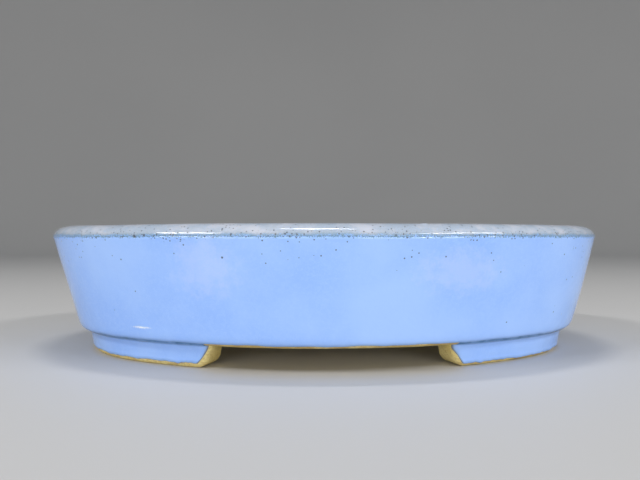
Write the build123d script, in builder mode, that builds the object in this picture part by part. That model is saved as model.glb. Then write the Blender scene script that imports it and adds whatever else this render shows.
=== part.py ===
"""Oval bonsai pot on two cut feet: luted clay pieces with a glaze coat on the outside.

The frame has its origin on the standing surface under the middle of the pot, X along the
oval, Y to the back and Z up. Millimetres.

Every ring is one section, drawn as (inset, height) and carried round the four arcs of the
oval. Inset is measured inwards from the rim line, the widest line of the pot, which is the
lower arris of the lip.
"""

from build123d import *
from math import asin, atan2, cos, degrees, radians, sin, tan
import os

os.makedirs("parts", exist_ok=True)

# ---- Driving dimensions ---------------------------------------------------------------

# The oval, at the rim line: its end arcs are drawn to a radius that is less than half the
# width by the shoulder, and its side arcs then meet them without a corner
rim_length = 280.0
rim_width = 208.0
rim_shoulder = 16.0

# Heights above the standing surface
pot_height = 60.4
arris_height = 55.2
foot_height = 9.8

# The body
wall_lean = 16.0
wall_thickness = 6.5
floor_thickness = 6.5
heel_radius = 7.0
seam_leg = 6.0
seam_radius = 9.0

# The lip, turned inwards over the wall
lip_seat_drop = 4.2
crest_inset = 8.5
lip_width = 13.0
nose_drop = 3.8

# The feet, two strips of clay bent to the oval
foot_setback = 5.6
foot_taper = 2.0
foot_thickness = 12.5
foot_arris_radius = 1.2
foot_opening = 100.0
foot_end_radius = 5.0

# The glaze coat
glaze_thickness = 0.5
glaze_foot_rim = 1.4
glaze_heel_rim = 1.1
glaze_inside_depth = 9.0
glaze_end_gap = 2.0
glaze_groove_gap = 0.4

# Holes in the floor
drain_diameter = 22.0
drain_spacing = 116.0
wire_diameter = 5.0
wire_spacing_x = 160.0
wire_spacing_y = 56.0

# ---- Derived dimensions ---------------------------------------------------------------

lean_run = tan(radians(wall_lean))
glaze_run = glaze_thickness / cos(radians(wall_lean))
floor_top = foot_height + floor_thickness
lip_seat = arris_height - lip_seat_drop
section_depth = rim_width / 2

heel_height = foot_height + heel_radius
heel_top = heel_height - heel_radius * sin(radians(wall_lean))


def wall_face(height):
    """The inset of the clay wall's outer face at a height."""
    return (arris_height - height) * lean_run + glaze_run


def wall_back(height):
    """The inset of the clay wall's inner face at a height."""
    return wall_face(height) + wall_thickness


heel_inset = wall_face(heel_top) + heel_radius * cos(radians(wall_lean))
slab_core_inset = heel_inset + floor_thickness
foot_top_inset = wall_face(heel_top) + foot_setback
foot_bottom_inset = foot_top_inset + foot_taper

# ---- The oval -------------------------------------------------------------------------

half_length = rim_length / 2
half_width = rim_width / 2
rim_end_radius = half_width - rim_shoulder
end_centre = half_length - rim_end_radius
rim_side_radius = (half_width**2 + end_centre**2 - rim_end_radius**2) / (2 * rim_shoulder)
side_centre = rim_side_radius - half_width
end_half_angle = degrees(atan2(side_centre, end_centre))
side_half_angle = 90 - end_half_angle

# Each arc: its centre, its radius at the rim line, its middle direction and half its angle
right_end = ((end_centre, 0), rim_end_radius, 0, end_half_angle)
back_side = ((0, -side_centre), rim_side_radius, 90, side_half_angle)
left_end = ((-end_centre, 0), rim_end_radius, 180, end_half_angle)
front_side = ((0, side_centre), rim_side_radius, 270, side_half_angle)
oval_arcs = (right_end, back_side, left_end, front_side)


def carry(section, arc, start, end):
    """Revolve a section about an arc's centre, between two directions, into the open part."""
    centre, radius = arc[0], arc[1]
    outward = Vector(cos(radians(start)), sin(radians(start)), 0)
    along = Vector(-sin(radians(start)), cos(radians(start)), 0)
    rim_point = Vector(*centre) + outward * radius
    section_plane = Plane(origin=rim_point, x_dir=-outward, z_dir=along)
    revolve(section_plane * section, axis=Axis(centre + (0,), (0, 0, 1)), revolution_arc=end - start)


def ring(section):
    """Carry a section once round the oval, into the open part."""
    for arc in oval_arcs:
        middle, half_angle = arc[2], arc[3]
        carry(section, arc, middle - half_angle, middle + half_angle)


def between(low, high):
    """Keep only what the open sketch has between two heights."""
    with Locations((section_depth / 2, (low + high) / 2)):
        Rectangle(2 * section_depth, high - low, mode=Mode.INTERSECT)


def oval_face(inset):
    """Fill the oval at an inset, in the open sketch."""
    with BuildLine() as outline:
        for centre, radius, middle, half_angle in oval_arcs:
            CenterArc(centre, radius - inset, middle - half_angle, 2 * half_angle)
    make_face(outline.edges())


# ---- Sections -------------------------------------------------------------------------

nose_height = pot_height - nose_drop

# The clay of the body: heel, wall and lip in one outline
with BuildSketch() as body_section:
    with BuildLine():
        heel = CenterArc((heel_inset, heel_height), heel_radius, 270, wall_lean - 90)
        Line(heel @ 1, (glaze_run, arris_height))
        EllipticalCenterArc(
            (crest_inset, arris_height),
            crest_inset - glaze_run,
            pot_height - glaze_thickness - arris_height,
            start_angle=90,
            arc_size=90,
        )
        EllipticalCenterArc(
            (crest_inset, nose_height),
            lip_width - glaze_thickness - crest_inset,
            nose_drop - glaze_thickness,
            start_angle=0,
            arc_size=90,
        )
        under_lip = Line((lip_width - glaze_thickness, nose_height), (wall_back(lip_seat), lip_seat))
        back = Line(under_lip @ 1, (wall_back(floor_top), floor_top))
        floor_line = Line(back @ 1, (slab_core_inset, floor_top))
        core = Line(floor_line @ 1, (slab_core_inset, foot_height))
        Line(core @ 1, heel @ 0)
    make_face()

with BuildSketch() as slab_section:
    add(body_section.sketch)
    between(foot_height, floor_top)

with BuildSketch() as wall_section:
    add(body_section.sketch)
    between(floor_top, lip_seat)

with BuildSketch() as lip_section:
    add(body_section.sketch)
    between(lip_seat, pot_height)

# The coil pressed into the corner between the floor and the wall's back
seam_foot = wall_back(floor_top)
seam_rise = seam_leg * cos(radians(wall_lean))
with BuildSketch() as seam_section:
    with BuildLine():
        on_floor = Line((seam_foot, floor_top), (seam_foot + seam_leg, floor_top))
        on_wall = Line((wall_back(floor_top + seam_rise), floor_top + seam_rise), (seam_foot, floor_top))
        RadiusArc(on_floor @ 1, on_wall @ 0, seam_radius)
    make_face()

# A foot strip, square-cut, leaning in towards its bottom
with BuildSketch() as foot_section:
    with BuildLine():
        Polyline(
            (foot_top_inset, foot_height),
            (foot_bottom_inset, 0),
            (foot_bottom_inset + foot_thickness, 0),
            (foot_bottom_inset + foot_thickness, foot_height),
            close=True,
        )
    make_face()

# Glaze on the heel and wall, up to the rim line
heel_rim = foot_height + glaze_heel_rim
half_wall = wall_thickness / 2
with BuildSketch() as wall_coat_section:
    with BuildLine():
        coat_heel = CenterArc(
            (heel_inset, heel_height),
            heel_radius + glaze_thickness,
            180 + wall_lean,
            90 - wall_lean,
        )
        Polyline(
            coat_heel @ 1,
            (wall_face(floor_top) + half_wall, floor_top),
            (half_wall, arris_height),
            (0, arris_height),
            coat_heel @ 0,
        )
    make_face()
    add(body_section.sketch, mode=Mode.SUBTRACT)
    between(heel_rim, arris_height)

# Glaze on the lip, over the crest and a little way down the wall's back
inside_rim = lip_seat - glaze_inside_depth
with BuildSketch() as lip_coat_section:
    with BuildLine():
        coat_crown = EllipticalCenterArc(
            (crest_inset, arris_height),
            crest_inset,
            pot_height - arris_height,
            start_angle=90,
            arc_size=90,
        )
        coat_nose = EllipticalCenterArc(
            (crest_inset, nose_height),
            lip_width - crest_inset,
            nose_drop,
            start_angle=0,
            arc_size=90,
        )
        Polyline(
            coat_nose @ 0,
            (wall_back(lip_seat) + glaze_run, lip_seat),
            (wall_back(inside_rim) + glaze_run, inside_rim),
            (wall_back(inside_rim) - half_wall, inside_rim),
            (half_wall, arris_height),
            coat_crown @ 1,
        )
    make_face()
    add(body_section.sketch, mode=Mode.SUBTRACT)


def foot_face(height):
    """The inset of a clay foot's outer face at a height."""
    return foot_top_inset + foot_taper * (foot_height - height) / foot_height


coat_top = foot_height - glaze_groove_gap
with BuildSketch() as foot_coat_section:
    with BuildLine():
        Polyline(
            (foot_face(coat_top), coat_top),
            (foot_face(glaze_foot_rim), glaze_foot_rim),
            (foot_face(glaze_foot_rim) - glaze_thickness, glaze_foot_rim),
            (foot_face(coat_top) - glaze_thickness, coat_top),
            close=True,
        )
    make_face()

# ---- The body -------------------------------------------------------------------------

with BuildPart() as base_slab:
    ring(slab_section.sketch)
    with BuildSketch(Plane.XY.offset(foot_height)):
        oval_face(slab_core_inset)
    extrude(amount=floor_thickness)
    with Locations((0, 0, floor_top)):
        with GridLocations(drain_spacing, 0, 2, 1):
            Hole(drain_diameter / 2)
        with GridLocations(wire_spacing_x, wire_spacing_y, 2, 2):
            Hole(wire_diameter / 2)

base_slab.part.label = "base_slab"
export_step(base_slab.part, "parts/base_slab.step")

with BuildPart() as pot_wall:
    ring(wall_section.sketch)

pot_wall.part.label = "pot_wall"
export_step(pot_wall.part, "parts/pot_wall.step")

with BuildPart() as seam_coil:
    ring(seam_section.sketch)

seam_coil.part.label = "seam_coil"
export_step(seam_coil.part, "parts/seam_coil.step")

with BuildPart() as rim_lip:
    ring(lip_section.sketch)

rim_lip.part.label = "rim_lip"
export_step(rim_lip.part, "parts/rim_lip.step")

# ---- The feet -------------------------------------------------------------------------


def foot_run(section, end_gap):
    """Carry a section round the right foot, from the back opening to the front one."""
    opening_angle = degrees(asin((foot_opening / 2 + end_gap) / (rim_side_radius - foot_top_inset)))
    carry(section, front_side, 270 + opening_angle, 270 + side_half_angle)
    carry(section, right_end, -end_half_angle, end_half_angle)
    carry(section, back_side, 90 - side_half_angle, 90 - opening_angle)


with BuildPart() as foot_right:
    foot_run(foot_section.sketch, 0)
    fillet(foot_right.edges().filter_by(GeomType.LINE).group_by(Axis.Z)[0], foot_end_radius)
    bottom_edges = foot_right.faces().sort_by(Axis.Z)[0].edges()
    fillet(bottom_edges.filter_by(GeomType.CIRCLE), foot_arris_radius)

foot_right.part.label = "foot_right"
export_step(foot_right.part, "parts/foot_right.step")

with BuildPart() as foot_left:
    add(foot_right.part)
    mirror(about=Plane.YZ, mode=Mode.REPLACE)

foot_left.part.label = "foot_left"
export_step(foot_left.part, "parts/foot_left.step")

# ---- The glaze ------------------------------------------------------------------------

with BuildPart() as glaze_wall:
    ring(wall_coat_section.sketch)

glaze_wall.part.label = "glaze_wall"
export_step(glaze_wall.part, "parts/glaze_wall.step")

with BuildPart() as glaze_lip:
    ring(lip_coat_section.sketch)

glaze_lip.part.label = "glaze_lip"
export_step(glaze_lip.part, "parts/glaze_lip.step")

with BuildPart() as glaze_foot_right:
    foot_run(foot_coat_section.sketch, glaze_end_gap)

glaze_foot_right.part.label = "glaze_foot_right"
export_step(glaze_foot_right.part, "parts/glaze_foot_right.step")

with BuildPart() as glaze_foot_left:
    add(glaze_foot_right.part)
    mirror(about=Plane.YZ, mode=Mode.REPLACE)

glaze_foot_left.part.label = "glaze_foot_left"
export_step(glaze_foot_left.part, "parts/glaze_foot_left.step")
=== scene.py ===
"""Glazed oval bonsai pot with its plain studio stage.

The pot is worked as a straight run of clay first: X along the rim line, Y inwards from it and
Z up. Each run is then bent round the oval. Metres.
"""

from math import atan2, copysign, cos, hypot, pi, radians, sin, sqrt, tan
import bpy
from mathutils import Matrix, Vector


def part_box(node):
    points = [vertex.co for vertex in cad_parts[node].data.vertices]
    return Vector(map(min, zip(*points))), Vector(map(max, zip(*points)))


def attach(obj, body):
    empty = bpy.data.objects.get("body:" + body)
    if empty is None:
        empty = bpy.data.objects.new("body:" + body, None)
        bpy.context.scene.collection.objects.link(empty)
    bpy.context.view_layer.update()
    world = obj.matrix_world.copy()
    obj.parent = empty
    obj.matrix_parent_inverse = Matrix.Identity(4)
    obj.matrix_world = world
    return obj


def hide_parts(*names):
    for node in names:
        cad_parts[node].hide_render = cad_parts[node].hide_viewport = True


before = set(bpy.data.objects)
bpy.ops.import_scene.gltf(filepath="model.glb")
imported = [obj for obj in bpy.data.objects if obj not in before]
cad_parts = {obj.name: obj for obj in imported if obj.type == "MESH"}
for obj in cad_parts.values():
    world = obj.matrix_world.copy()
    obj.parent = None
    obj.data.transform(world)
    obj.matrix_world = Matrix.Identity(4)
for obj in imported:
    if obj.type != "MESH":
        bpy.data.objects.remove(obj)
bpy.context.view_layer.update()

from types import SimpleNamespace

import bmesh
import bpy
from bpy.props import FloatProperty, FloatVectorProperty, PointerProperty
from mathutils import Matrix, Vector, noise

bl_info = {
    "name": "Bonsai Pot",
    "version": (1, 0, 0),
    "blender": (4, 5, 0),
    "location": "3D View > Sidebar > Bonsai Pot",
    "description": "Makes a glazed oval bonsai pot and its studio stage",
    "category": "Add Mesh",
}

mm = 0.001
UP = Vector((0, 0, 1))
COAT_SUNK = 0.1 * mm  # how far each coat's back lies in the clay, so that no gap shows

# Painted marks on the glaze, two patches of painted reflection on the wall and a painted highlight low
# on the left: where each one's middle is, and how far it reaches along each axis
LEFT_PAINTED_REFLECTION = ((-53 * mm, -92 * mm, 44 * mm), (14 * mm, 20 * mm, 13 * mm))
RIGHT_PAINTED_REFLECTION = ((48 * mm, -92 * mm, 42 * mm), (19 * mm, 20 * mm, 9 * mm))
# A painted highlight, a small pale streak low on the left
PAINTED_HIGHLIGHT = ((-82.4 * mm, -71 * mm, 17 * mm), (4.4 * mm, 6 * mm, 0.5 * mm))
GRIT = (32.5 * mm, -95.5 * mm)  # plan of the one grain of grit under the lip's coat


def low_corner(node):
    """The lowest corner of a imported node's box."""
    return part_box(node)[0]


def high_corner(node):
    """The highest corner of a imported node's box."""
    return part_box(node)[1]


# ---- Sizes and colours


def length(name, text, value):
    """A size in metres, as a property."""
    return FloatProperty(name=name, description=text, default=value, unit="LENGTH", precision=5)


def share(name, text, value):
    """A number with no unit, as a property."""
    return FloatProperty(name=name, description=text, default=value)


def colour(name, text, value):
    """A colour, as a property."""
    return FloatVectorProperty(
        name=name, description=text, default=value, subtype="COLOR", min=0, max=1
    )


def angle(name, text, value):
    """An angle, given in degrees, as a property."""
    return FloatProperty(name=name, description=text, default=radians(value), subtype="ANGLE")


class BonsaiPotBody(bpy.types.PropertyGroup):
    """Sizes of the oval, the wall and the lip."""

    half_length: length("Half length", "Middle to the rim line at an end", high_corner("glaze_wall").x)
    half_width: length("Half width", "Middle to the rim line at a side", high_corner("glaze_wall").y)
    shoulder: length("Shoulder", "Half width less the end arcs' radius", 16 * mm)
    arris: length("Arris height", "Height of the rim line", high_corner("glaze_wall").z)
    crest: length("Crest height", "Height of the glazed lip", high_corner("glaze_lip").z)
    lip_seat: length("Lip seat", "Height where the lip clay sits on the wall", low_corner("rim_lip").z)
    floor_top: length("Floor top", "Height of the floor inside", high_corner("base_slab").z)
    floor_under: length("Floor underside", "Height of the slab's underside", low_corner("base_slab").z)
    glaze_end: length("Inner glaze end", "Height where the glaze ends inside", low_corner("glaze_lip").z)
    lean: angle("Lean", "Wall lean from upright", 16)
    wall: length("Wall", "Thickness of the clay wall", 6.5 * mm)
    glaze: length("Glaze", "Thickness of the glaze coat", 0.5 * mm)
    heel_radius: length("Heel radius", "Radius of the clay heel", 7 * mm)
    crest_inset: length("Crest inset", "Rim line to the crest", 8.5 * mm)
    lip_width: length("Lip width", "Rim line to the lip's inner edge", 13 * mm)
    nose_drop: length("Nose drop", "Crest to the middle of the inner roll", 3.8 * mm)
    seam_leg: length("Seam leg", "Width of the pressed coil on the floor", 6 * mm)
    seam_radius: length("Seam radius", "Radius of the pressed coil's hollow", 9 * mm)
    warp: length("Warp", "How far the rim wanders from true", 0.45 * mm)
    end_pull: length("End pull", "How far the right end stands in at the rim", 1.9 * mm)


class BonsaiPotFeet(bpy.types.PropertyGroup):
    """Sizes of the feet."""

    height: length("Height", "Height of the feet", high_corner("foot_right").z)
    setback: length("Setback", "Wall face to foot face at the heel", 5.6 * mm)
    taper: length("Taper", "How far the foot face leans in at the bottom", 2 * mm)
    thickness: length("Thickness", "Thickness of a foot strip", 12.5 * mm)
    opening: length("Opening", "Half the gap between the feet", 50 * mm)
    left_back: length("Left set back", "How much further out the left foot's front end is", 2.5 * mm)
    right_reach: length("Right reach", "How much nearer the right foot's front end is", 2.5 * mm)
    end_lean: length("End lean", "How far a cut end leans back at the bottom", 2.7 * mm)
    end_rise: length("End rise", "Height of the round under a cut end", 5 * mm)
    end_run: length("End run", "Length of the round under a cut end", 7 * mm)
    corner: length("Corner", "Round on a cut end's outer corner", 5 * mm)


class BonsaiPotGlaze(bpy.types.PropertyGroup):
    """Colours and finish of the glaze."""

    blue: colour("Blue", "The coat's main colour", (0.29, 0.49, 0.97))
    light_blue: colour("Light blue", "Where the coat mottles lighter", (0.37, 0.57, 1.0))
    painted_reflection: colour("Painted_reflection", "Soft pale clouds in the coat", (0.62, 0.70, 1.0))
    # Painted reflection: the colour of two pale patches on the wall, painted into the coat
    lip: colour("Lip", "Where the coat runs thin over the lip", (0.36, 0.42, 0.50))
    lip_pale: colour("Pale lip", "Milky streaks on the lip", (0.50, 0.52, 0.58))
    break_line: colour("Break line", "Where the coat breaks over the arris", (0.13, 0.23, 0.28))
    # Pool: glaze gathered thick in the groove and at the coats' ends, and painted shade in the groove
    # under the heel
    pool: colour("Pool_and_shade", "Where the coat gathers in the groove", (0.045, 0.15, 0.29))
    speck: colour("Speck", "Iron specks and pinholes", (0.035, 0.03, 0.03))
    # Painted highlight: the colour of a small pale streak low on the left
    painted_highlight: colour("Painted_highlight", "A pale scuff low on the left", (0.90, 0.93, 0.95))
    # Edge: painted shadow, a dark line along each coat's thin end on the clay
    edge: colour("Edge", "The coat's thin end on the clay", (0.22, 0.17, 0.10))
    gloss: share("Roughness", "Roughness of the glaze", 0.055)


class BonsaiPotClay(bpy.types.PropertyGroup):
    """Colours and finish of the bare clay."""

    buff: colour("Buff", "The fired clay's main colour", (0.80, 0.62, 0.20))
    pale: colour("Pale", "Lighter patches in the clay", (0.93, 0.79, 0.36))
    toast: colour("Toast", "Clay flashed darker beside the glaze", (0.47, 0.30, 0.09))
    speck: colour("Speck", "Iron specks in the clay", (0.09, 0.05, 0.025))
    roughness: share("Roughness", "Roughness of the clay", 0.82)


class BonsaiPotStage(bpy.types.PropertyGroup):
    """The floor, the lights and the camera."""

    floor: colour("Floor", "Colour of the floor and backdrop", (0.56, 0.55, 0.54))
    lens: share("Lens", "Focal length in millimetres", 35.0)
    camera_x: length("Camera X", "Camera place along the pot", -20.3 * mm)
    camera_y: length("Camera Y", "Camera place before the pot", -336.8 * mm)
    camera_z: length("Camera Z", "Camera height", 55.25 * mm)
    turn: angle("Turn", "Camera turn to the right", 2.81)
    dip: angle("Dip", "Camera tilt downwards", 0.32)


class BonsaiPotSettings(bpy.types.PropertyGroup):
    """Everything that a user of the pot would change."""

    body: PointerProperty(type=BonsaiPotBody)
    feet: PointerProperty(type=BonsaiPotFeet)
    glaze: PointerProperty(type=BonsaiPotGlaze)
    clay: PointerProperty(type=BonsaiPotClay)
    stage: PointerProperty(type=BonsaiPotStage)


def settings():
    """The pot's settings."""
    return bpy.context.scene.bonsai_pot


def plain(group):
    """A property group's values, held plainly so that long loops read them fast."""
    return SimpleNamespace(**{name: getattr(group, name) for name in type(group).__annotations__})


# ---- The oval and the wall's lines


def ease(low, high, value):
    """Ease from 0 at low to 1 at high."""
    part = min(max((value - low) / (high - low), 0.0), 1.0)
    return part * part * (3 - 2 * part)


def roll(radius, distance):
    """How far a round edge has dropped, as a share of its depth, this far from its end."""
    if distance >= radius:
        return 0.0
    return 1 - sqrt(1 - (1 - max(distance, 0.0) / radius) ** 2)


def ripple(place, size):
    """Smooth noise at a place, in waves of about this size."""
    return noise.noise(place / size)


class Oval:
    """The pot's plan, four tangent arcs walked anticlockwise from the middle of the back, and the
    lines of its wall and feet."""

    def __init__(self):
        self.body = body = plain(settings().body)
        self.feet = plain(settings().feet)
        self.heard = {}
        self.end_radius = body.half_width - body.shoulder
        self.end_centre = body.half_length - self.end_radius
        square = body.half_width**2 + self.end_centre**2 - self.end_radius**2
        self.side_radius = square / (2 * body.shoulder)
        self.side_centre = self.side_radius - body.half_width
        self.end_half = atan2(self.side_centre, self.end_centre)
        side_half = pi / 2 - self.end_half
        side_run = self.side_radius * side_half
        end_run = 2 * self.end_radius * self.end_half
        behind = Vector((0, -self.side_centre, 0))
        before = Vector((0, self.side_centre, 0))
        left = Vector((-self.end_centre, 0, 0))
        right = Vector((self.end_centre, 0, 0))
        self.length = 4 * side_run + 2 * end_run
        half = self.length / 2
        # Each arc: where it ends on the run, its centre, radius and heading, and where it starts
        self.arcs = (
            (side_run, behind, self.side_radius, pi / 2, 0),
            (side_run + end_run, left, self.end_radius, pi - self.end_half, side_run),
            (half + side_run, before, self.side_radius, 3 * pi / 2 - side_half, half - side_run),
            (half + side_run + end_run, right, self.end_radius, -self.end_half, half + side_run),
            (self.length, behind, self.side_radius, self.end_half, self.length - side_run),
        )
        self.lean_run = tan(body.lean)
        self.glaze_run = body.glaze / cos(body.lean)
        heel_height = body.floor_under + body.heel_radius
        heel_top = heel_height - body.heel_radius * sin(body.lean)
        heel_inset = self.clay_face(heel_top) + body.heel_radius * cos(body.lean)
        self.heel_centre = (heel_inset, heel_height)
        self.foot_top_inset = self.clay_face(heel_top) + self.feet.setback

    def bend(self, place):
        """Carry a place on the straight run to its place on the oval."""
        for end, centre, radius, heading, start in self.arcs:
            if place.x <= end:
                break
        heading += (place.x - start) / radius
        reach = radius - place.y
        return Vector((centre.x + reach * cos(heading), centre.y + reach * sin(heading), place.z))

    def read(self, place):
        """The rim line's point beside a place, the way outwards there and the inset."""
        over = abs(place.x) - self.end_centre
        if over > 0 and abs(atan2(place.y, over)) <= self.end_half:
            centre = Vector((copysign(self.end_centre, place.x), 0, 0))
            radius = self.end_radius
        else:
            centre = Vector((0, -copysign(self.side_centre, place.y), 0))
            radius = self.side_radius
        spoke = Vector((place.x, place.y, 0)) - centre
        outward = spoke.normalized()
        return centre + outward * radius, outward, radius - spoke.length

    def wander(self, along, size, seed):
        """Smooth noise along the rim line, the same at every inset and height."""
        key = (round(along, 6), size, seed)
        if key not in self.heard:
            spot = self.bend(Vector((along, 0, 0))) / size
            self.heard[key] = noise.noise(spot + Vector((0, 0, seed)))
        return self.heard[key]

    def coat_face(self, height):
        """The inset of the glazed wall's outer face at a height."""
        return (self.body.arris - height) * self.lean_run

    def clay_face(self, height):
        """The inset of the clay wall's outer face at a height."""
        return self.coat_face(height) + self.glaze_run

    def clay_back(self, height):
        """The inset of the clay wall's inner face at a height."""
        return self.clay_face(height) + self.body.wall

    def foot_face(self, height):
        """The inset of a clay foot's outer face at a height."""
        feet = self.feet
        return self.foot_top_inset + feet.taper * (feet.height - height) / feet.height

    def settle(self, place):
        """Move a place as drying and firing have moved the pot."""
        body = self.body
        rim, outward, inset = self.read(place)
        lift = place.z / body.crest
        near_wall = 1 - ease(30 * mm, 60 * mm, inset)
        sway = noise.noise(rim / (48 * mm) + UP * (place.z / (90 * mm)))
        heave = noise.noise(rim / (55 * mm) + Vector((7.3, 1.1, 4.2)))
        moved = place + outward * (body.warp * sway * lift * near_wall)
        moved.z += body.warp * 0.6 * heave * lift
        moved.x -= body.end_pull * ease(88 * mm, 138 * mm, place.x) * ease(0.35, 1.0, lift)
        return moved


# ---- Sections and runs


class Section:
    """A line drawn in the section's plane, as (inset, height), then drawn out along the run."""

    def __init__(self, inset, height):
        self.bm = bmesh.new()
        self.start = Vector((0, inset, height))
        self.here = self.start

    def to(self, inset, height, spacing=1 * mm):
        """Draw a straight line on to a point, divided evenly."""
        there = Vector((0, inset, height))
        edge = self.bm.edges.new([self.bm.verts.new(point) for point in (self.here, there)])
        cuts = round((there - self.here).length / spacing) - 1
        if cuts > 0:
            bmesh.ops.subdivide_edges(self.bm, edges=[edge], cuts=cuts)
        self.here = there

    def curve(self, centre, radii, start, sweep, steps):
        """Spin a vertex round into an arc, and flatten the arc to its radii."""
        known = set(self.bm.verts)
        point = self.bm.verts.new((0, cos(start), sin(start)))
        bmesh.ops.spin(
            self.bm, geom=[point], cent=(0, 0, 0), axis=(1, 0, 0), angle=sweep, steps=steps
        )
        arc = [vertex for vertex in self.bm.verts if vertex not in known]
        bmesh.ops.scale(self.bm, vec=(1, radii[0], radii[1]), verts=arc)
        bmesh.ops.translate(self.bm, vec=(0, centre[0], centre[1]), verts=arc)
        end = start + sweep
        self.here = Vector((0, centre[0] + radii[0] * cos(end), centre[1] + radii[1] * sin(end)))

    def close(self, spacing=1 * mm):
        """Draw a straight line back to the start."""
        self.to(self.start.y, self.start.z, spacing)

    def measure(self):
        """Write each vertex's distance along the open line to the layer "run"."""
        layer = self.bm.verts.layers.float.new("run")
        bmesh.ops.remove_doubles(self.bm, verts=self.bm.verts, dist=mm / 1000)
        ends = [v for v in self.bm.verts if len(v.link_edges) == 1]
        vertex = min(ends, key=lambda v: (v.co - self.start).length)
        edge, distance = None, 0.0
        while True:
            vertex[layer] = distance
            onward = [e for e in vertex.link_edges if e is not edge]
            if not onward:
                return distance
            edge = onward[0]
            distance += edge.calc_length()
            vertex = edge.other_vert(vertex)

    def draw_out(self, start, end, spacing):
        """Draw the section out along the run."""
        bmesh.ops.remove_doubles(self.bm, verts=self.bm.verts, dist=mm / 1000)
        bmesh.ops.translate(self.bm, vec=(start, 0, 0), verts=self.bm.verts)
        drawn = bmesh.ops.extrude_edge_only(self.bm, edges=self.bm.edges)
        far = [item for item in drawn["geom"] if isinstance(item, bmesh.types.BMVert)]
        bmesh.ops.translate(self.bm, vec=(end - start, 0, 0), verts=far)
        runs = [edge for edge in self.bm.edges if abs(edge.verts[0].co.x - edge.verts[1].co.x) > mm]
        bmesh.ops.subdivide_edges(self.bm, edges=runs, cuts=round((end - start) / spacing) - 1)
        return self.bm


def face_outwards(bm):
    """Turn an open skin's faces so that its outer side, at the lowest inset, looks outwards."""
    bmesh.ops.recalc_face_normals(bm, faces=bm.faces)
    outermost = min(bm.faces, key=lambda face: face.calc_center_median().y)
    if outermost.normal.y > 0:
        bmesh.ops.reverse_faces(bm, faces=bm.faces)


def section_moves(bm, rule):
    """Each vertex's move in its section: along its normal, as far as a rule says."""
    bm.normal_update()
    return [Vector((0, vertex.normal.y, vertex.normal.z)) * rule(vertex) for vertex in bm.verts]


def bend_round(bm, oval, closed):
    """Bend a straight run round the oval, let it settle, and close its ring."""
    for vertex in bm.verts:
        vertex.co = oval.settle(oval.bend(vertex.co))
    if closed:
        bmesh.ops.remove_doubles(bm, verts=bm.verts, dist=mm / 100)


def piece(bm, name, node, material):
    """Make an object of a finished bmesh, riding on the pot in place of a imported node."""
    mesh = bpy.data.meshes.new(name)
    bm.to_mesh(mesh)
    bm.free()
    mesh.shade_smooth()
    mesh.materials.append(material)
    made = bpy.data.objects.new(name, mesh)
    bpy.context.scene.collection.objects.link(made)
    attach(made, "root")
    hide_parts(node)
    return made


# ---- Materials


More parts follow.
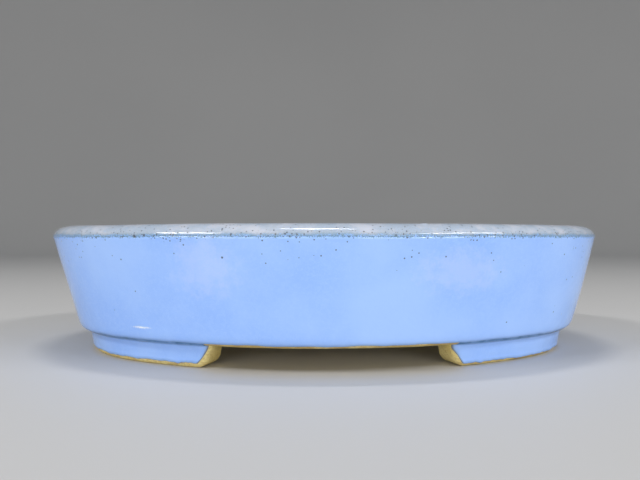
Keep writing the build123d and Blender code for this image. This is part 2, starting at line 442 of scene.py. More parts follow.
class Recipe:
    """One material and the nodes that it is mixed from."""

    def __init__(self, name):
        self.material = bpy.data.materials.new(name)
        self.material.use_nodes = True
        self.nodes = self.material.node_tree.nodes
        self.links = self.material.node_tree.links
        self.nodes.clear()
        self.shader = self.node("BsdfPrincipled")
        self.node("OutputMaterial", Surface=self.shader.outputs["BSDF"])
        self.place = self.node("TexCoord").outputs["Object"]

    def feed(self, socket, source):
        """Give a socket a plain value or the output of another node."""
        if isinstance(source, bpy.types.NodeSocket):
            self.links.new(source, socket)
        elif socket.type == "RGBA":
            socket.default_value = (*source, 1)
        else:
            socket.default_value = source

    def node(self, kind, **sources):
        """Add a node of a kind, and feed the sockets that are named."""
        node = self.nodes.new(f"ShaderNode{kind}")
        for socket, source in sources.items():
            self.feed(node.inputs[socket.replace("_", " ")], source)
        return node

    def measured(self, name):
        """A number that the piece's mesh carries."""
        node = self.node("Attribute")
        node.attribute_name = name
        return node.outputs["Fac"]

    def sum(self, operation, *terms):
        """A sum, product or other arithmetic of numbers."""
        node = self.node("Math")
        node.operation = operation
        for socket, term in zip(node.inputs, terms):
            self.feed(socket, term)
        return node.outputs[0]

    def plus(self, first, second):
        """Two numbers added."""
        return self.sum("ADD", first, second)

    def times(self, first, second):
        """Two numbers multiplied."""
        return self.sum("MULTIPLY", first, second)

    def between(self, value, low, high, first=0.0, last=1.0):
        """Ease a number from one value at low to another at high."""
        node = self.node(
            "MapRange", Value=value, From_Min=low, From_Max=high, To_Min=first, To_Max=last
        )
        node.interpolation_type = "SMOOTHSTEP"
        return node.outputs["Result"]

    def blend(self, share, first, second):
        """Mix two colours."""
        node = self.node("Mix", Factor=share)
        node.data_type = "RGBA"
        self.feed(node.inputs[6], first)
        self.feed(node.inputs[7], second)
        return node.outputs[2]

    def stretched(self, stretch, shift=(0, 0, 0)):
        """The place on the pot, stretched and moved."""
        return self.node("Mapping", Scale=stretch, Location=shift, Vector=self.place).outputs[0]

    def cloud(self, size, detail=2.0, coarse=0.5, place=None):
        """Smooth noise whose patches are about this size."""
        place = place or self.place
        node = self.node("TexNoise", Vector=place, Scale=1 / size, Detail=detail, Roughness=coarse)
        return node.outputs["Fac"]

    def dots(self, spacing, radius, kept, place=None):
        """Round dots, about this far apart, of which a share is kept: 1 in a dot, 0 outside."""
        node = self.node("TexVoronoi", Vector=place or self.place, Scale=1 / spacing)
        apart = self.node("SeparateColor", Color=node.outputs["Color"])
        inside = self.between(node.outputs["Distance"], radius / spacing, 0.5 * radius / spacing)
        return self.times(inside, self.sum("LESS_THAN", apart.outputs["Red"], kept))

    def spot(self, centre, radii, ragged):
        """A soft spot on the pot: 1 in its middle, 0 outside."""
        stretch = [1 / radius for radius in radii]
        shift = [-middle / radius for middle, radius in zip(centre, radii)]
        apart = self.node("VectorMath", Vector=self.stretched(stretch, shift))
        apart.operation = "LENGTH"
        return self.between(self.plus(apart.outputs["Value"], ragged), 1.3, 0.3)

    def finish(self, base, roughness, height, depth, strength):
        """Feed the shader."""
        bump = self.node("Bump", Strength=strength, Distance=depth, Height=height)
        self.feed(self.shader.inputs["Base Color"], base)
        self.feed(self.shader.inputs["Roughness"], roughness)
        self.feed(self.shader.inputs["Normal"], bump.outputs["Normal"])
        return self.material


def glaze_material():
    """The glossy opaque coat: mottled blue, thin over the lip and gathered in the groove, with painted
    shade in the groove and along the coat's edges, two patches of painted reflection and a painted
    highlight.
    """
    known = bpy.data.materials.get("blue_glaze")
    if known:
        return known
    look = settings().glaze
    r = Recipe("blue_glaze")
    reach = r.measured("reach")
    pool = r.measured("pool")
    thin = r.measured("thin")
    broad = r.cloud(34 * mm, 3)
    mottle = r.cloud(1.8 * mm, 4, 0.65)
    grain = r.cloud(0.5 * mm, 3, 0.7)
    drift = r.cloud(5 * mm, 4, 0.7)

    blue = r.blend(r.between(broad, 0.3, 0.7), look.blue, look.light_blue)
    fleck = r.between(mottle, 0.35, 0.68, -0.2, 0.2)
    fleck = r.plus(fleck, r.between(grain, 0.35, 0.65, -0.22, 0.22))
    # Two soft patches of painted reflection on the wall, with ragged edges
    painted_reflection_edge = r.between(drift, 0.3, 0.7, -0.35, 0.35)
    painted_reflection = r.sum("MAXIMUM", r.spot(*LEFT_PAINTED_REFLECTION, painted_reflection_edge), r.spot(*RIGHT_PAINTED_REFLECTION, painted_reflection_edge))
    blue = r.blend(r.times(painted_reflection, 0.30), blue, look.painted_reflection)
    blue = r.blend(r.plus(0.18, fleck), blue, look.light_blue)

    ragged = r.between(drift, 0.25, 0.75, -0.35 * mm, 0.35 * mm)
    torn = r.plus(r.plus(reach, ragged), r.between(grain, 0.3, 0.7, -0.6 * mm, 0.6 * mm))
    on_lip = r.between(torn, 0.3 * mm, 1.1 * mm)
    past_lip = r.between(torn, 12.5 * mm, 15.5 * mm)
    lip_share = r.times(on_lip, r.sum("SUBTRACT", 1, past_lip))
    streak = r.between(r.cloud(9 * mm, 4, 0.6), 0.38, 0.66)
    lip = r.blend(streak, look.lip, look.lip_pale)
    lip = r.blend(r.between(grain, 0.45, 0.75, 0, 0.35), lip, look.light_blue)
    base = r.blend(lip_share, blue, lip)

    above = r.between(torn, -0.45 * mm, 0.15 * mm)
    below = r.between(torn, 2.0 * mm, 0.4 * mm)
    breaking = r.times(above, below)
    breaking = r.times(breaking, r.between(grain, 0.35, 0.62, 0.25, 0.95))
    base = r.blend(breaking, base, look.break_line)
    # Darker where the glaze gathers, and painted shade in the groove under the heel
    base = r.blend(r.times(pool, r.between(drift, 0.3, 0.7, 0.65, 1.0)), base, look.pool)

    nearness = r.between(r.sum("ABSOLUTE", r.sum("SUBTRACT", reach, 0.4 * mm)), 3.2 * mm, 0.2 * mm)
    crowd = r.plus(r.times(nearness, 0.75), r.times(lip_share, 0.24))
    upper_wall = r.between(reach, -15 * mm, -1 * mm, 0.006, 0.09)
    crowd = r.plus(crowd, r.times(upper_wall, r.sum("SUBTRACT", 1, past_lip)))
    small = r.dots(1.4 * mm, 0.42 * mm, crowd)
    large = r.dots(4.2 * mm, 0.62 * mm, r.times(crowd, 0.9))
    pinhole = r.sum("MAXIMUM", small, large)
    pale_dot = r.dots(7.5 * mm, 0.42 * mm, 0.10, r.stretched((1, 1, 1), (0.031, 0.017, 0.009)))
    base = r.blend(r.times(pale_dot, 0.55), base, look.lip_pale)
    base = r.blend(r.times(pinhole, 0.85), base, look.speck)
    # A small painted highlight low on the left, with a ragged edge
    painted_highlight_edge = r.between(grain, 0.3, 0.7, -0.3, 0.5)
    base = r.blend(r.spot(*PAINTED_HIGHLIGHT, painted_highlight_edge), base, look.painted_highlight)
    # A dark line of painted shadow along the coat's thin end
    base = r.blend(thin, base, look.edge)

    height = r.plus(r.between(r.cloud(3.2 * mm, 2), 0.2, 0.8, 0, 0.5), r.times(mottle, 0.16))
    height = r.sum("SUBTRACT", height, pinhole)
    height = r.plus(height, r.times(pale_dot, 0.3))
    rough = r.between(mottle, 0.3, 0.7, look.gloss * 0.7, look.gloss * 1.4)
    rough = r.plus(rough, r.times(pinhole, 0.4))
    r.shader.inputs["IOR"].default_value = 1.52
    return r.finish(base, rough, height, 0.12 * mm, 0.55)


def clay_material():
    """The bare fired clay: buff, grainy and toasted beside the glaze."""
    known = bpy.data.materials.get("bare_clay")
    if known:
        return known
    look = settings().clay
    r = Recipe("bare_clay")
    toast = r.measured("toast")
    broad = r.cloud(26 * mm, 4, 0.55)
    patch = r.cloud(6 * mm, 5, 0.6)
    grit = r.cloud(0.9 * mm, 4, 0.75)
    base = r.blend(r.between(broad, 0.35, 0.68), look.buff, look.pale)
    base = r.blend(r.between(patch, 0.4, 0.7, 0, 0.5), base, look.pale)
    base = r.blend(r.between(grit, 0.47, 0.66, 0, 0.5), base, look.toast)
    toasted = r.between(r.plus(toast, r.between(patch, 0.3, 0.7, -0.3, 0.3)), 0.2, 1.0, 0, 0.65)
    base = r.blend(toasted, base, look.toast)
    specks = r.dots(2.6 * mm, 0.32 * mm, 0.22)
    grog = r.dots(1.6 * mm, 0.34 * mm, 0.3, r.stretched((1, 1, 1), (0.013, 0.021, 0.007)))
    base = r.blend(r.times(grog, 0.4), base, look.pale)
    base = r.blend(r.times(specks, 0.75), base, look.speck)
    wiped = r.cloud(1.4 * mm, 3, 0.6, r.stretched((0.25, 0.25, 1.6)))
    height = r.plus(grit, r.times(wiped, 0.7))
    height = r.plus(height, r.times(grog, 0.35))
    height = r.sum("SUBTRACT", height, r.times(specks, 0.25))
    rough = r.between(grit, 0.3, 0.7, look.roughness - 0.08, look.roughness + 0.1)
    return r.finish(base, rough, height, 0.5 * mm, 1.0)


# ---- Pieces


def carried(bm, name, rule):
    """Write a number for each vertex to a layer that the material reads."""
    layer = bm.verts.layers.float.get(name) or bm.verts.layers.float.new(name)
    for vertex in bm.verts:
        vertex[layer] = rule(vertex)


def clay_ring(section, oval, spacing, marks, toast, name, node):
    """Draw a closed clay section once round the oval, mark it and make its piece."""
    bm = section.draw_out(0, oval.length, spacing)
    bmesh.ops.recalc_face_normals(bm, faces=bm.faces)
    for vertex, move in zip(bm.verts, section_moves(bm, lambda vertex: marks(vertex.co))):
        vertex.co += move
    carried(bm, "toast", lambda vertex: toast(vertex.co))
    bend_round(bm, oval, True)
    bmesh.ops.recalc_face_normals(bm, faces=bm.faces)
    return piece(bm, name, node, clay_material())


def curve_lip(section, oval, skin, outer_steps, inner_steps):
    """Carry a section over the lip, from the arris to its inner edge, this deep under its face."""
    body = oval.body
    outer = (body.crest_inset - skin / cos(body.lean), body.crest - skin - body.arris)
    inner = (body.lip_width - skin - body.crest_inset, body.nose_drop - skin)
    section.curve((body.crest_inset, body.arris), outer, pi, -pi / 2, outer_steps)
    nose = (body.crest_inset, body.crest - body.nose_drop)
    section.curve(nose, inner, pi / 2, -pi / 2, inner_steps)


def draw_coat(section, start, end, spacing):
    """Draw a glaze skin out from its open section: its bmesh, its "run" layer and its full run."""
    total = section.measure()
    bm = section.draw_out(start, end, spacing)
    face_outwards(bm)
    return bm, bm.verts.layers.float.get("run"), total


def finish_coat(bm, oval, closed, name, node, slot, **layers):
    """Write a coat's layers, bend it round, make its piece and thicken it into the clay."""
    for layer, rule in layers.items():
        carried(bm, layer, rule)
    bend_round(bm, oval, closed)
    made = piece(bm, name, node, glaze_material())
    coat = made.modifiers.new("Coat", "SOLIDIFY")
    coat.thickness = oval.body.glaze + COAT_SUNK
    coat.offset = -1
    coat.use_even_offset = True


class BONSAIPOT_OT_wall_clay(bpy.types.Operator):
    """Make the clay wall with its ribbed back"""

    bl_idname = "bonsai_pot.wall_clay"
    bl_label = "Clay wall"

    def execute(self, context):
        oval = Oval()
        body = oval.body
        section = Section(oval.clay_face(body.floor_top), body.floor_top)
        section.to(oval.clay_face(body.lip_seat), body.lip_seat, 3 * mm)
        section.to(oval.clay_back(body.lip_seat), body.lip_seat, 2 * mm)
        section.to(oval.clay_back(body.floor_top), body.floor_top, 0.9 * mm)
        section.close(2 * mm)

        def marks(place):
            if place.y < oval.clay_face(place.z) + body.wall * 0.7:
                return 0.0
            rib = noise.noise(Vector((place.z / (2.6 * mm), oval.wander(place.x, 90 * mm, 3), 0)))
            sponge = ripple(oval.bend(place), 9 * mm)
            return 0.10 * mm * rib + 0.16 * mm * sponge

        def toast(place):
            return ease(body.glaze_end - 5 * mm, body.glaze_end, place.z) * 0.8

        clay_ring(section, oval, 1.6 * mm, marks, toast, "wall_clay", "pot_wall")
        return {"FINISHED"}


class BONSAIPOT_OT_lip_clay(bpy.types.Operator):
    """Make the lip's clay, turned inwards over the wall"""

    bl_idname = "bonsai_pot.lip_clay"
    bl_label = "Clay lip"

    def execute(self, context):
        oval = Oval()
        body = oval.body
        section = Section(oval.clay_face(body.lip_seat), body.lip_seat)
        section.to(oval.glaze_run, body.arris, 2 * mm)
        curve_lip(section, oval, body.glaze, 8, 6)
        section.to(oval.clay_back(body.lip_seat), body.lip_seat, 2 * mm)
        section.close(2 * mm)
        clay_ring(
            section, oval, 2 * mm, lambda place: 0.0, lambda place: 0.5, "lip_clay", "rim_lip"
        )
        return {"FINISHED"}


class BONSAIPOT_OT_seam_clay(bpy.types.Operator):
    """Make the coil pressed into the corner inside"""

    bl_idname = "bonsai_pot.seam_clay"
    bl_label = "Clay seam"

    def execute(self, context):
        oval = Oval()
        body = oval.body
        floor = body.floor_top
        sunk = 0.25 * mm  # how far the coil is pressed into the clay behind it
        finger = 13 * mm
        rise = body.seam_leg * cos(body.lean)
        low = Vector((oval.clay_back(floor) + body.seam_leg, floor))
        high = Vector((oval.clay_back(floor + rise), floor + rise))
        chord = high - low
        middle = (low + high) / 2
        over = sqrt(body.seam_radius**2 - (chord.length / 2) ** 2)
        aside = Vector((chord.y, -chord.x)).normalized()
        hub = middle + aside * over
        start = atan2(low.y - hub.y, low.x - hub.x)
        end = atan2(high.y - hub.y, high.x - hub.x)
        sweep = (end - start + pi) % (2 * pi) - pi
        section = Section(low.x, floor - sunk)
        section.to(low.x, low.y)
        section.curve(hub, (body.seam_radius, body.seam_radius), start, sweep, 14)
        section.to(high.x - sunk, high.y, 2 * mm)
        section.to(oval.clay_back(floor) - sunk, floor - sunk, 2 * mm)
        section.close(3 * mm)

        def marks(place):
            press = sin(place.x / finger * 2 * pi + 2.5 * oval.wander(place.x, 50 * mm, 8))
            middle_share = ease(0, 3 * mm, place.z - floor)
            middle_share *= ease(0, 2 * mm, place.y - high.x + sunk)
            smear = ripple(oval.bend(place), 5 * mm)
            return middle_share * (0.30 * mm * press + 0.25 * mm * smear)

        clay_ring(section, oval, 1.5 * mm, marks, lambda place: 0.12, "seam_clay", "seam_coil")
        return {"FINISHED"}


class BONSAIPOT_OT_slab_clay(bpy.types.Operator):
    """Make the floor slab with its drain holes and tie holes"""

    bl_idname = "bonsai_pot.slab_clay"
    bl_label = "Clay slab"

    def execute(self, context):
        oval = Oval()
        body = oval.body
        bm = bmesh.new()
        bm.from_mesh(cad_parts["base_slab"].data)
        bmesh.ops.remove_doubles(bm, verts=bm.verts, dist=mm / 200)
        bmesh.ops.dissolve_limit(bm, angle_limit=radians(0.5), verts=bm.verts, edges=bm.edges)
        past_heel = 32 * mm
        holes = []
        for edge in bm.edges:
            middle = (edge.verts[0].co + edge.verts[1].co) / 2
            inset = oval.read(middle)[2]
            flat = abs(edge.verts[0].co.z - edge.verts[1].co.z) < mm / 100
            if flat and inset > past_heel and edge.calc_face_angle(0) > radians(60):
                holes.append(edge)
        bmesh.ops.bevel(
            bm, geom=holes, offset=0.8 * mm, segments=3, profile=0.5, affect="EDGES", material=-1,
            clamp_overlap=True,
        )
        # Divide the flat faces, with every line off the holes' middles
        grid, aside = 4 * mm, 0.4 * mm
        for axis, reach in (((1, 0, 0), body.half_length), ((0, 1, 0), body.half_width)):
            for step in range(-round(reach / grid), round(reach / grid) + 1):
                whole = bm.verts[:] + bm.edges[:] + bm.faces[:]
                line = Vector(axis) * (step * grid + aside)
                bmesh.ops.bisect_plane(bm, geom=whole, dist=mm / 1000, plane_co=line, plane_no=axis)
        bm.normal_update()
        for vertex in bm.verts:
            if abs(vertex.normal.z) > 0.95:
                vertex.co.z += 0.16 * mm * ripple(vertex.co, 13 * mm)
        edge_glaze = body.floor_under + 1.6 * mm
        carried(
            bm,
            "toast",
            lambda vertex: 0.75 * ease(22 * mm, 17 * mm, oval.read(vertex.co)[2])
            * ease(edge_glaze + 3 * mm, edge_glaze, vertex.co.z),
        )
        for vertex in bm.verts:
            vertex.co = oval.settle(vertex.co)
        slab = piece(bm, "slab_clay", "base_slab", clay_material())
        slab.data.set_sharp_from_angle(angle=radians(38))
        return {"FINISHED"}


def foot_span(oval, side):
    """Where a foot starts and ends on the run: the back end and the front end of the left one."""
    feet = oval.feet
    turn_radius = oval.side_radius - oval.foot_face(feet.height)

    def along(half_gap):
        return oval.side_radius * atan2(half_gap, sqrt(turn_radius**2 - half_gap**2))

    back = along(feet.opening)
    if side == "left":
        return back, oval.length / 2 - along(feet.opening + feet.left_back)
    return oval.length / 2 + along(feet.opening - feet.right_reach), oval.length - back


def round_foot_end(oval, place, start, end):
    """Round a foot's cut end under its bottom and at its outer corner."""
    feet = oval.feet
    distance = max(min(place.x - start, end - place.x), 0.0)
    depth = place.y - oval.foot_face(place.z)
    inner_round = 1.5 * mm
    outer = 1 - ease(0, feet.thickness * 0.75, depth)
    inner = ease(feet.thickness * 0.6, feet.thickness, depth)
    push = feet.corner * roll(feet.corner, distance) * outer
    push -= inner_round * roll(inner_round, distance) * inner
    lift = feet.end_rise * roll(feet.end_run, distance)
    lean = feet.end_lean * (1 - place.z / feet.height) * (1 - ease(0, 25 * mm, distance))
    if end - place.x < place.x - start:
        lean = -lean
    return Vector((place.x + lean, place.y + push, place.z + lift * (1 - place.z / feet.height)))


def divide(bm, axis, spacing):
    """Divide a block's edges that run along one axis."""
    chosen = []
    for edge in bm.edges:
        run = edge.verts[1].co - edge.verts[0].co
        if abs(run[axis]) > 0.99 * run.length:
            chosen.append(edge)
    cuts = round(chosen[0].calc_length() / spacing) - 1
    bmesh.ops.subdivide_edges(bm, edges=chosen, cuts=cuts, use_grid_fill=True)


class BONSAIPOT_OT_feet_clay(bpy.types.Operator):
    """Make the feet, strips of clay bent to the oval and cut at the gap"""

    bl_idname = "bonsai_pot.feet_clay"
    bl_label = "Clay feet"

    def execute(self, context):
        oval = Oval()
        feet = oval.feet
        joined = 0.3 * mm  # how far a foot's top is luted into the slab
        crowding = 0.06  # how much closer a foot's divisions stand towards its cut ends
        edge_round = 1.3 * mm
        half = feet.thickness / 2
        for side in ("left", "right"):
            start, end = foot_span(oval, side)
            bm = bmesh.new()
            bmesh.ops.create_cube(bm, size=1)
            top = feet.height + joined
            bmesh.ops.scale(bm, vec=(end - start, feet.thickness, top), verts=bm.verts)
            middle = ((start + end) / 2, oval.foot_face(feet.height) + half, top / 2)
            bmesh.ops.translate(bm, vec=middle, verts=bm.verts)
            divide(bm, 0, 1.1 * mm)
            divide(bm, 1, 1.1 * mm)
            divide(bm, 2, 0.9 * mm)
            span = end - start
            for vertex in bm.verts:
                part = (vertex.co.x - start) / span
                vertex.co.x = start + span * (part - crowding * sin(2 * pi * part))
                vertex.co.y += feet.taper * (feet.height - vertex.co.z) / feet.height
            for vertex in bm.verts:
                place = vertex.co
                depth = place.y - oval.foot_face(place.z)
                under = edge_round * 0.7 * roll(edge_round, place.z)
                place.y += under * (1 - ease(0, half, depth))
                place.y -= under * ease(half, feet.thickness, depth)
                vertex.co = round_foot_end(oval, place, start, end)
            bm.normal_update()
            hand = []
            for vertex in bm.verts:
                where = oval.bend(vertex.co)
                rough = 0.16 * ripple(where, 7 * mm) + 0.07 * ripple(where, 2.6 * mm)
                hand.append(vertex.normal * (rough * mm))
            for vertex, move in zip(bm.verts, hand):
                if vertex.co.z < feet.height - 0.5 * mm:
                    vertex.co += move
                vertex.co.z = max(vertex.co.z, 0.0)

            def toast(vertex):
                depth = vertex.co.y - oval.foot_face(vertex.co.z)
                return 0.55 * ease(3.2 * mm, 1.2 * mm, vertex.co.z) * (1 - ease(0, 3 * mm, depth))

            carried(bm, "toast", toast)
            bend_round(bm, oval, False)
            bmesh.ops.recalc_face_normals(bm, faces=bm.faces)
            foot = piece(bm, f"foot_clay_{side}", f"foot_{side}", clay_material())
            foot.data.set_sharp_from_angle(angle=radians(50))
        return {"FINISHED"}


class BONSAIPOT_OT_wall_glaze(bpy.types.Operator):
    """Make the coat on the wall and the heel"""

    bl_idname = "bonsai_pot.wall_glaze"
    bl_label = "Wall glaze"

    def execute(self, context):
        oval = Oval()
        body = oval.body
        radius = body.heel_radius + body.glaze
        heel_top = oval.heel_centre[1] - radius * sin(body.lean)
        sweep = radians(37)
        section = Section(0, body.arris)
        section.to(oval.coat_face(heel_top), heel_top, 1 * mm)
        section.curve(oval.heel_centre, (radius, radius), pi + body.lean, sweep, 12)
        bm, run, total = draw_coat(section, 0, oval.length, 1.5 * mm)

        def swell(vertex):
            left = total - vertex[run]
            where = oval.bend(vertex.co)
            thick = 0.07 * mm * ripple(where, 12 * mm) + 0.03 * mm * ripple(where, 4 * mm)
            thick += 0.16 * mm * ease(4.5 * mm, 1.6 * mm, left) * ease(0, 1 * mm, left)
            thick *= ease(0, 2 * mm, vertex[run])
            return thick - (body.glaze + 0.05 * mm) * roll(0.9 * mm, left)

        for vertex, move in zip(bm.verts, section_moves(bm, swell)):
            if vertex.co.z < heel_top:
                along = vertex.co.x
                wave = 0.55 * oval.wander(along, 11 * mm, 2) + 0.3 * oval.wander(along, 4 * mm, 5)
                slide = (0.9 * mm * wave + 0.5 * mm) * ease(radius * sweep, 0, total - vertex[run])
                hub = Vector((along, *oval.heel_centre))
                vertex.co = hub + Matrix.Rotation(-slide / radius, 3, "X") @ (vertex.co - hub)
            vertex.co += move
        finish_coat(
            bm, oval, True, "wall_glaze", "glaze_wall", "wall_glaze",
            reach=lambda vertex: -vertex[run],
            # Darker at the heel coat's lower end: gathered glaze and painted shade in the groove
            pool=lambda vertex: 0.35 * ease(2.6 * mm, 0.8 * mm, total - vertex[run]),
            # Painted shadow along the heel coat's thin lower end
            thin=lambda vertex: 0.75 * ease(0.55 * mm, 0.1 * mm, total - vertex[run]),
        )
        return {"FINISHED"}


class BONSAIPOT_OT_lip_glaze(bpy.types.Operator):
    """Make the coat over the lip and a little way down inside"""

    bl_idname = "bonsai_pot.lip_glaze"
    bl_label = "Lip glaze"

    def execute(self, context):
        oval = Oval()
        body = oval.body
        section = Section(0, body.arris)
        curve_lip(section, oval, 0, 18, 10)
        for height, spacing in ((body.lip_seat, 0.8 * mm), (body.glaze_end, 0.6 * mm)):
            section.to(oval.clay_back(height) + oval.glaze_run, height, spacing)
        bm, run, total = draw_coat(section, 0, oval.length, 1.2 * mm)

        def swell(vertex):
            left = total - vertex[run]
            where = oval.bend(vertex.co)
            thick = 0.05 * mm * ripple(where, 11 * mm) + 0.012 * mm * ripple(where, 3 * mm)
            thick += 0.12 * mm * oval.wander(vertex.co.x, 26 * mm, 6)
            away = hypot(where.x - GRIT[0], where.y - GRIT[1])
            on_crest = ease(4 * mm, 1 * mm, abs(where.z - body.crest))
            thick += 0.45 * mm * ease(1.6 * mm, 0.2 * mm, away) * on_crest
            thick *= ease(0, 3 * mm, vertex[run])
            thick += 0.25 * mm * ease(5 * mm, 1.8 * mm, left) * ease(0, 1 * mm, left)
            return thick - (body.glaze + 0.05 * mm) * roll(0.9 * mm, left)

        for vertex, move in zip(bm.verts, section_moves(bm, swell)):
            vertex.co += move
            along = vertex.co.x
            wave = oval.wander(along, 17 * mm, 4) + 0.5 * oval.wander(along, 6 * mm, 9)
            dip = 1.7 * mm * wave * ease(8 * mm, 0, total - vertex[run])
            vertex.co += Vector((0, -dip * tan(body.lean), dip))
        finish_coat(
            bm, oval, True, "lip_glaze", "glaze_lip", "lip_glaze",
            reach=lambda vertex: vertex[run],
            pool=lambda vertex: 0.3 * ease(3 * mm, 1 * mm, total - vertex[run]),
            # Painted shadow along the coat's thin end inside the pot
            thin=lambda vertex: 0.75 * ease(0.6 * mm, 0.1 * mm, total - vertex[run]),
        )
        return {"FINISHED"}


class BONSAIPOT_OT_feet_glaze(bpy.types.Operator):
    """Make the coats on the feet, gathered in the groove under the heel, with painted shade there"""

    bl_idname = "bonsai_pot.feet_glaze"
    bl_label = "Foot glaze"

    def coat_foot(self, oval, side, bare, front_gaps):
        """Make one foot's coat. Its gaps are to the cut end, at the coat's top and bottom."""
        body, feet = oval.body, oval.feet
        cut_gap = 1 * mm
        back_gaps = (1.5 * mm, 6.5 * mm)
        start, end = foot_span(oval, side)
        first, last = start + cut_gap, end - cut_gap

        # From under the heel's round, over the heel coat's edge and down the foot
        hub = oval.heel_centre
        tucked, tuck = radians(226), body.heel_radius + 0.2 * mm
        lapped, lap = radians(238), body.heel_radius + body.glaze
        section = Section(hub[0] + tuck * cos(tucked), hub[1] + tuck * sin(tucked))
        section.to(hub[0] + lap * cos(lapped), hub[1] + lap * sin(lapped), 0.4 * mm)
        corner = (oval.foot_face(feet.height) - body.glaze, feet.height - 0.2 * mm)
        section.to(corner[0] - 0.7 * mm, corner[1] + 0.35 * mm, 0.3 * mm)
        section.to(corner[0] - 0.1 * mm, corner[1] - 0.15 * mm, 0.3 * mm)
        for height, spacing in ((corner[1] - 1 * mm, 0.3 * mm), (bare, 0.45 * mm)):
            section.to(oval.foot_face(height) - body.glaze, height, spacing)
        bm, run, total = draw_coat(section, first, last, 0.9 * mm)
        margin = bm.verts.layers.float.new("margin")
        for vertex in bm.verts:
            vertex[margin] = min(vertex.co.x - first, last - vertex.co.x)

        def swell(vertex):
            left = total - vertex[run]
            where = oval.bend(vertex.co)
            thick = 0.06 * mm * ripple(where, 8 * mm) + 0.03 * mm * ripple(where, 3 * mm)
            thick += 0.14 * mm * ease(3 * mm, 1 * mm, left) * ease(0, 1 * mm, left)
            thick *= ease(0, 2 * mm, vertex[run])
            return thick - (body.glaze + 0.06 * mm) * roll(0.8 * mm, min(left, vertex[margin]))

        for vertex, move in zip(bm.verts, section_moves(bm, swell)):
            along = vertex.co.x
            low = min(max((feet.height - vertex.co.z) / feet.height, 0.0), 1.0)
            at_start = along - first < last - along
            at_front = at_start == (side == "right")
            top_gap, low_gap = front_gaps if at_front else back_gaps
            gap = top_gap + (low_gap - top_gap) * low**2
            gap += 0.5 * mm * ripple(oval.bend(vertex.co), 3.5 * mm)
            shift = (gap - cut_gap) * (1 - ease(0, 22 * mm, vertex[margin]))
            wave = oval.wander(along, 8 * mm, 1) + 0.5 * oval.wander(along, 3 * mm, 7)
            vertex.co += move
            vertex.co.z += 0.55 * mm * wave * ease(4 * mm, 0, total - vertex[run])
            vertex.co.x += shift if at_start else -shift
            vertex.co = round_foot_end(oval, vertex.co, start, end)

        def pool(vertex):
            # Under the heel: gathered glaze and painted shade in the groove
            under_heel = 0.95 * ease(4.6 * mm, 2.2 * mm, vertex[run])
            return under_heel + 0.25 * ease(2 * mm, 0.8 * mm, total - vertex[run])

        # Painted shadow along the coat's thin lower end and its ends by the cuts
        def thin(vertex):
            return 0.7 * ease(0.5 * mm, 0.1 * mm, min(total - vertex[run], vertex[margin]))

        finish_coat(
            bm, oval, False, f"foot_glaze_{side}", f"glaze_foot_{side}", "wall_glaze",
            reach=lambda vertex: -60 * mm,
            pool=pool,
            thin=thin,
        )

    def execute(self, context):
        oval = Oval()
        self.coat_foot(oval, "left", 1.5 * mm, (2.0 * mm, 8.2 * mm))
        self.coat_foot(oval, "right", 0.8 * mm, (1.0 * mm, 6.2 * mm))
        return {"FINISHED"}


# ---- The stage


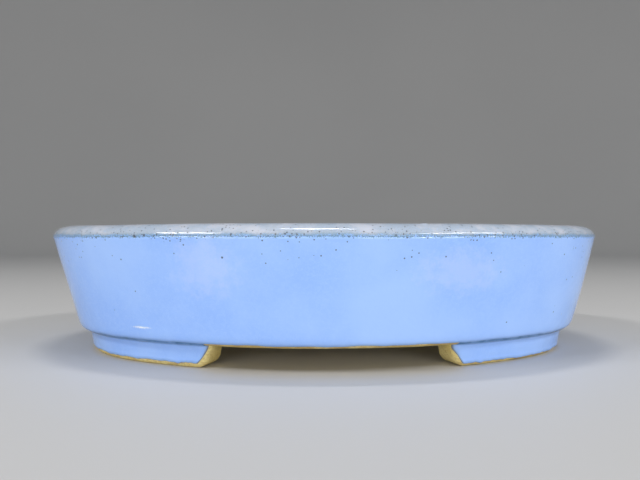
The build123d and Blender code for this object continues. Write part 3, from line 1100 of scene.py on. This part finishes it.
class BONSAIPOT_OT_stage(bpy.types.Operator):
    """Make the floor, the backdrop, the lights and the camera"""

    bl_idname = "bonsai_pot.stage"
    bl_label = "Stage"

    def soft_light(self, name, place, aim, size, power):
        """Hang a soft light and point it."""
        lamp = bpy.data.lights.new(name, "AREA")
        lamp.shape = "RECTANGLE"
        lamp.size, lamp.size_y = size
        lamp.energy = power
        made = bpy.data.objects.new(name, lamp)
        made.location = place
        made.rotation_euler = (Vector(aim) - Vector(place)).to_track_quat("-Z", "Y").to_euler()
        bpy.context.scene.collection.objects.link(made)

    def execute(self, context):
        stage = settings().stage
        scene = bpy.context.scene

        # The floor is a wide round bowl, so that it is also the backdrop on every side
        flat, rim, height, round_off = 2.6, 2.8, 1.6, 0.9
        bm = bmesh.new()
        profile = [bm.verts.new(point) for point in ((0, 0, 0), (flat, 0, 0), (rim, 0, height))]
        for pair in zip(profile, profile[1:]):
            bm.edges.new(pair)
        bmesh.ops.spin(
            bm, geom=bm.verts[:] + bm.edges[:], axis=UP, angle=2 * pi, steps=96, use_merge=True
        )
        bmesh.ops.remove_doubles(bm, verts=bm.verts, dist=mm)
        ring = {v for v in bm.verts if v.co.xy.length > flat / 2 and v.co.z < height / 2}
        fold = [edge for edge in bm.edges if ring.issuperset(edge.verts)]
        bmesh.ops.bevel(
            bm, geom=fold, offset=round_off, segments=16, profile=0.5, affect="EDGES", material=-1
        )
        bmesh.ops.translate(bm, vec=(0, 0, -0.1 * mm), verts=bm.verts)
        bmesh.ops.recalc_face_normals(bm, faces=bm.faces)
        mesh = bpy.data.meshes.new("studio_floor")
        bm.to_mesh(mesh)
        bm.free()
        mesh.shade_smooth()
        if mesh.polygons[0].normal.z < 0:
            mesh.flip_normals()
        r = Recipe("floor_paint")
        tone = r.between(r.cloud(0.9, 2), 0.3, 0.7)
        base = r.blend(tone, stage.floor, [part * 0.97 for part in stage.floor])
        mesh.materials.append(r.finish(base, 0.7, r.cloud(2 * mm, 3), 0.05 * mm, 0.2))
        floor = bpy.data.objects.new("studio_floor", mesh)
        scene.collection.objects.link(floor)

        pot = (0, 0, 0.03)
        self.soft_light("overhead_light", (-0.02, -0.02, 1.1), (-0.02, -0.02, 0), (0.27, 0.06), 2.5)
        self.soft_light("left_light", (-0.95, -0.62, 0.95), pot, (0.55, 0.11), 7)
        self.soft_light("right_light", (0.95, -0.75, 0.9), pot, (0.85, 0.11), 8)
        self.soft_light("front_fill", (0.15, -2.2, 0.5), pot, (2.0, 1.0), 5)
        self.soft_light("low_left", (-0.7, -1.4, 0.24), pot, (0.9, 0.4), 5.4)
        self.soft_light("low_right", (0.7, -1.4, 0.24), pot, (0.9, 0.4), 5.4)

        world = bpy.data.worlds.new("studio_air")
        world.use_nodes = True
        air = world.node_tree.nodes["Background"]
        air.inputs["Color"].default_value = (0.9, 0.95, 1.0, 1)
        air.inputs["Strength"].default_value = 0.3
        scene.world = world
        scene.view_settings.view_transform = "Standard"

        lens = bpy.data.cameras.new("camera")
        lens.lens = stage.lens
        lens.sensor_width = 36
        lens.clip_start = 0.01
        camera = bpy.data.objects.new("camera", lens)
        camera.location = (stage.camera_x, stage.camera_y, stage.camera_z)
        camera.rotation_euler = (pi / 2 - stage.dip, 0, -stage.turn)
        scene.collection.objects.link(camera)
        scene.camera = camera
        return {"FINISHED"}


# ---- The add-on

STEPS = (
    BONSAIPOT_OT_stage,
    BONSAIPOT_OT_slab_clay,
    BONSAIPOT_OT_wall_clay,
    BONSAIPOT_OT_seam_clay,
    BONSAIPOT_OT_lip_clay,
    BONSAIPOT_OT_feet_clay,
    BONSAIPOT_OT_wall_glaze,
    BONSAIPOT_OT_lip_glaze,
    BONSAIPOT_OT_feet_glaze,
)


class BONSAIPOT_PT_panel(bpy.types.Panel):
    """The pot's pieces, in the order that they are made"""

    bl_idname = "BONSAIPOT_PT_panel"
    bl_label = "Bonsai Pot"
    bl_space_type = "VIEW_3D"
    bl_region_type = "UI"
    bl_category = "Bonsai Pot"

    def draw(self, context):
        for step in STEPS:
            self.layout.operator(step.bl_idname)
        for name in ("body", "feet", "glaze", "clay", "stage"):
            box = self.layout.box()
            group = getattr(context.scene.bonsai_pot, name)
            for prop in group.bl_rna.properties:
                if prop.identifier not in ("rna_type", "name"):
                    box.prop(group, prop.identifier)


CLASSES = (
    BonsaiPotBody,
    BonsaiPotFeet,
    BonsaiPotGlaze,
    BonsaiPotClay,
    BonsaiPotStage,
    BonsaiPotSettings,
    *STEPS,
    BONSAIPOT_PT_panel,
)


def register():
    """Register the classes and the pot's settings."""
    for item in CLASSES:
        bpy.utils.register_class(item)
    bpy.types.Scene.bonsai_pot = PointerProperty(type=BonsaiPotSettings)


def unregister():
    """Take the settings and the classes out again."""
    del bpy.types.Scene.bonsai_pot
    for item in reversed(CLASSES):
        bpy.utils.unregister_class(item)


def main():
    """Make the stage and the pot."""
    register()
    for step in STEPS:
        group, name = step.bl_idname.split(".")
        getattr(getattr(bpy.ops, group), name)()


if __name__ == "__main__":
    main()
